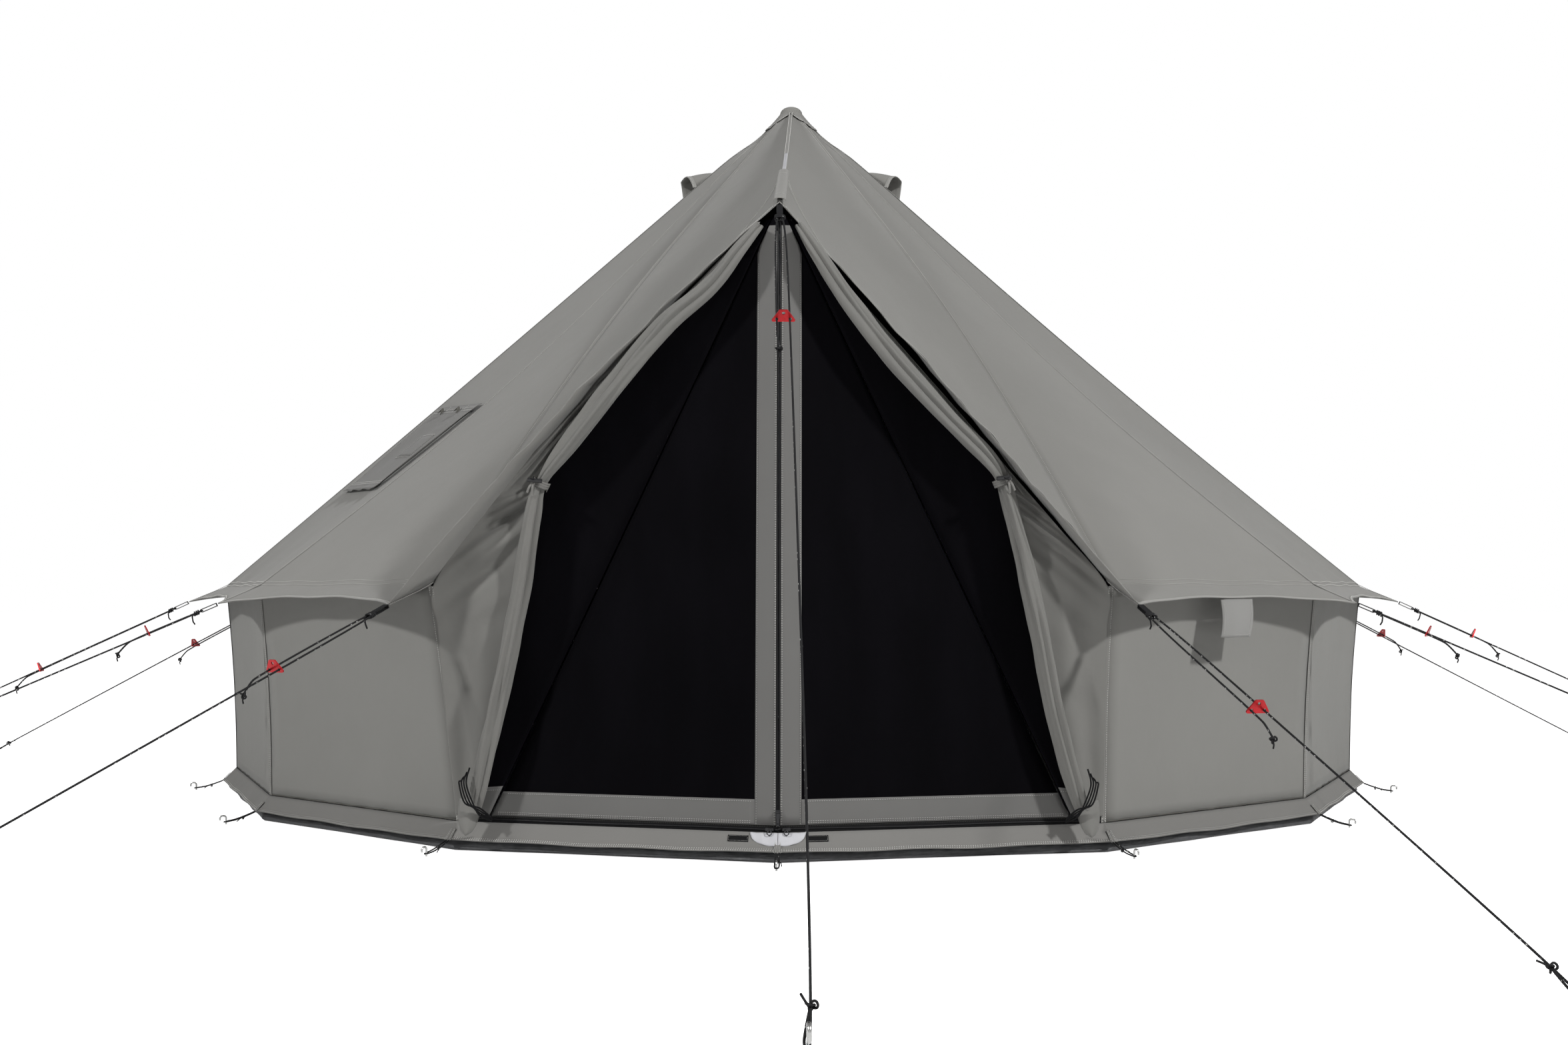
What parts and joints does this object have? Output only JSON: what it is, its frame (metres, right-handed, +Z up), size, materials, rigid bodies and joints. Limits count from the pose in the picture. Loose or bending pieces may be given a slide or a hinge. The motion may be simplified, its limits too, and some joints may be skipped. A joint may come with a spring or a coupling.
{
  "type": "bell tent",
  "caption": "Round canvas bell tent on a centre pole and an A-frame door, with low upright walls, zipped mesh doors, tied-back canvas doors, guy lines, runners and pegs.",
  "frame": {"origin": "on the ground under the centre pole, at the middle of the groundsheet's underside", "axes": "+Z up along the centre pole, the doorway faces -Y, +X to the right of someone who looks at the doorway"},
  "size_m": [8.2674, 8.759, 3.048],
  "materials": {
    "canvas": "warm grey cotton canvas, fine weave",
    "mud_flap": "grey coated canvas",
    "groundsheet": "charcoal PVC sheet, faint woven print",
    "mesh": "fine black insect mesh",
    "cord": "braided black guy line with pale reflective flecks",
    "webbing": "woven black webbing",
    "tie_webbing": "grey cotton webbing",
    "toggle": "black moulded toggle",
    "zip_tape": "black woven zip tape",
    "grey_flap": "light grey coated cloth",
    "heat_patch": "silver grey heat cloth",
    "zip_metal": "black painted die-cast metal",
    "red_aluminium": "red anodised aluminium",
    "peg_steel": "galvanised steel wire",
    "pole_steel": "galvanised steel tube",
    "rubber": "black moulded rubber"
  },
  "bodies": {
    "root": {"a_frame_joiner": "pole_steel", "a_frame_leg_left": "pole_steel", "a_frame_leg_right": "pole_steel", "apex_cap": "canvas", "centre_pole_cap": "rubber", "centre_pole_foot": "rubber", "centre_pole_lower": "pole_steel", "centre_pole_middle": "pole_steel", "centre_pole_upper": "pole_steel", "door_ties": "tie_webbing", "door_toggles": "toggle", "eave_loops": "webbing", "front_webbing": "webbing", "groundsheet": "groundsheet", "guy_rope_front": "cord", "guy_rope_l1": "cord", "guy_rope_l2": "cord", "guy_rope_l3": "cord", "guy_rope_l4": "cord", "guy_rope_r1": "cord", "guy_rope_r2": "cord", "guy_rope_r3": "cord", "guy_rope_r4": "cord", "guy_ropes_rear": "cord", "guy_stakes": "peg_steel", "hook_patches": "zip_tape", "mesh_side_panels": "mesh", "mud_flap": "mud_flap", "outer_door_left": "canvas", "outer_door_right": "canvas", "peg_loops": "cord", "roof_canvas": "canvas", "skirt_pegs": "peg_steel", "stove_patch": "heat_patch", "threshold_flap": "grey_flap", "threshold_zip": "zip_tape", "vent_hoods": "canvas", "vent_screens": "mesh", "wall_canvas": "canvas"},
    "mesh_door_left": {"mesh_door_left": "mesh"},
    "mesh_door_right": {"mesh_door_right": "mesh"},
    "centre_zip_slider": {"centre_zip_slider": "zip_metal"},
    "centre_zip_pull": {"centre_zip_pull": "zip_metal"},
    "threshold_slider_left": {"threshold_slider_left": "zip_metal"},
    "threshold_slider_right": {"threshold_slider_right": "zip_metal"},
    "stove_flap": {"stove_flap": "canvas"},
    "guy_runner_front": {"guy_runner_front": "red_aluminium"},
    "guy_runner_l1": {"guy_runner_l1": "red_aluminium"},
    "guy_runner_l2": {"guy_runner_l2": "red_aluminium"},
    "guy_runner_l3": {"guy_runner_l3": "red_aluminium"},
    "guy_runner_l4": {"guy_runner_l4": "red_aluminium"},
    "guy_runner_l5": {"guy_runner_l5": "red_aluminium"},
    "guy_runner_l6": {"guy_runner_l6": "red_aluminium"},
    "guy_runner_r1": {"guy_runner_r1": "red_aluminium"},
    "guy_runner_r2": {"guy_runner_r2": "red_aluminium"},
    "guy_runner_r3": {"guy_runner_r3": "red_aluminium"},
    "guy_runner_r4": {"guy_runner_r4": "red_aluminium"},
    "guy_runner_r5": {"guy_runner_r5": "red_aluminium"},
    "guy_runner_r6": {"guy_runner_r6": "red_aluminium"},
    "guy_runner_rear": {"guy_runner_rear": "red_aluminium"}
  },
  "joints": [
    {"name": "mesh_door_left_swing", "type": "hinge", "parent": "root", "child": "mesh_door_left", "pos_m": [-0.02, -2.198, 2.058], "axis": [-0.4236, 0.0065, -0.9058], "range_deg": [0, 70]},
    {"name": "mesh_door_right_swing", "type": "hinge", "parent": "root", "child": "mesh_door_right", "pos_m": [0.02, -2.198, 2.058], "axis": [-0.4236, -0.0065, 0.9058], "range_deg": [0, 70]},
    {"name": "centre_zip_travel", "type": "slide", "parent": "mesh_door_left", "child": "centre_zip_slider", "axis": [0, 0.1022, 0.9948], "range_m": [0, 1.8]},
    {"name": "centre_zip_pull_swing", "type": "hinge", "parent": "centre_zip_slider", "child": "centre_zip_pull", "pos_m": [0, -2.40883, 0.15332], "axis": [-1, 0, 0], "range_deg": [0, 150]},
    {"name": "threshold_zip_left_travel", "type": "slide", "parent": "root", "child": "threshold_slider_left", "axis": [-0.9749, 0.2225, 0], "range_m": [0, 0.98]},
    {"name": "threshold_zip_right_travel", "type": "slide", "parent": "root", "child": "threshold_slider_right", "axis": [0.9749, 0.2225, 0], "range_m": [0, 0.98]},
    {"name": "stove_flap_swing", "type": "hinge", "parent": "root", "child": "stove_flap", "pos_m": [-1.50629, -0.45031, 1.62826], "axis": [-0.4838, 0.8728, 0.0651], "range_deg": [0, 165]},
    {"name": "guy_runner_front_slide", "type": "slide", "parent": "root", "child": "guy_runner_front", "axis": [0.0352, -0.7503, -0.6602], "range_m": [-0.12, 0]},
    {"name": "guy_runner_r1_slide", "type": "slide", "parent": "root", "child": "guy_runner_r1", "axis": [0.265, -0.8857, -0.3812], "range_m": [-0.12, 0]},
    {"name": "guy_runner_r2_slide", "type": "slide", "parent": "root", "child": "guy_runner_r2", "axis": [0.813, -0.4191, -0.4042], "range_m": [-0.08, 0]},
    {"name": "guy_runner_r3_slide", "type": "slide", "parent": "root", "child": "guy_runner_r3", "axis": [0.8787, -0.2029, -0.4322], "range_m": [-0.1, 0]},
    {"name": "guy_runner_r4_slide", "type": "slide", "parent": "root", "child": "guy_runner_r4", "axis": [0.8787, 0.2029, -0.4322], "range_m": [-0.12, 0]},
    {"name": "guy_runner_r5_slide", "type": "slide", "parent": "root", "child": "guy_runner_r5", "axis": [0.6984, 0.5569, -0.4496], "range_m": [-0.12, 0]},
    {"name": "guy_runner_r6_slide", "type": "slide", "parent": "root", "child": "guy_runner_r6", "axis": [0.3876, 0.8048, -0.4496], "range_m": [-0.12, 0]},
    {"name": "guy_runner_rear_slide", "type": "slide", "parent": "root", "child": "guy_runner_rear", "axis": [0, 0.8933, -0.4496], "range_m": [-0.12, 0]},
    {"name": "guy_runner_l1_slide", "type": "slide", "parent": "root", "child": "guy_runner_l1", "axis": [-0.4644, -0.8024, -0.3748], "range_m": [-0.12, 0]},
    {"name": "guy_runner_l2_slide", "type": "slide", "parent": "root", "child": "guy_runner_l2", "axis": [-0.813, -0.4191, -0.4042], "range_m": [-0.08, 0]},
    {"name": "guy_runner_l3_slide", "type": "slide", "parent": "root", "child": "guy_runner_l3", "axis": [-0.8787, -0.2029, -0.4322], "range_m": [-0.12, 0]},
    {"name": "guy_runner_l4_slide", "type": "slide", "parent": "root", "child": "guy_runner_l4", "axis": [-0.8787, 0.2029, -0.4322], "range_m": [-0.12, 0]},
    {"name": "guy_runner_l5_slide", "type": "slide", "parent": "root", "child": "guy_runner_l5", "axis": [-0.6984, 0.5569, -0.4496], "range_m": [-0.12, 0]},
    {"name": "guy_runner_l6_slide", "type": "slide", "parent": "root", "child": "guy_runner_l6", "axis": [-0.3876, 0.8048, -0.4496], "range_m": [-0.12, 0]}
  ]
}
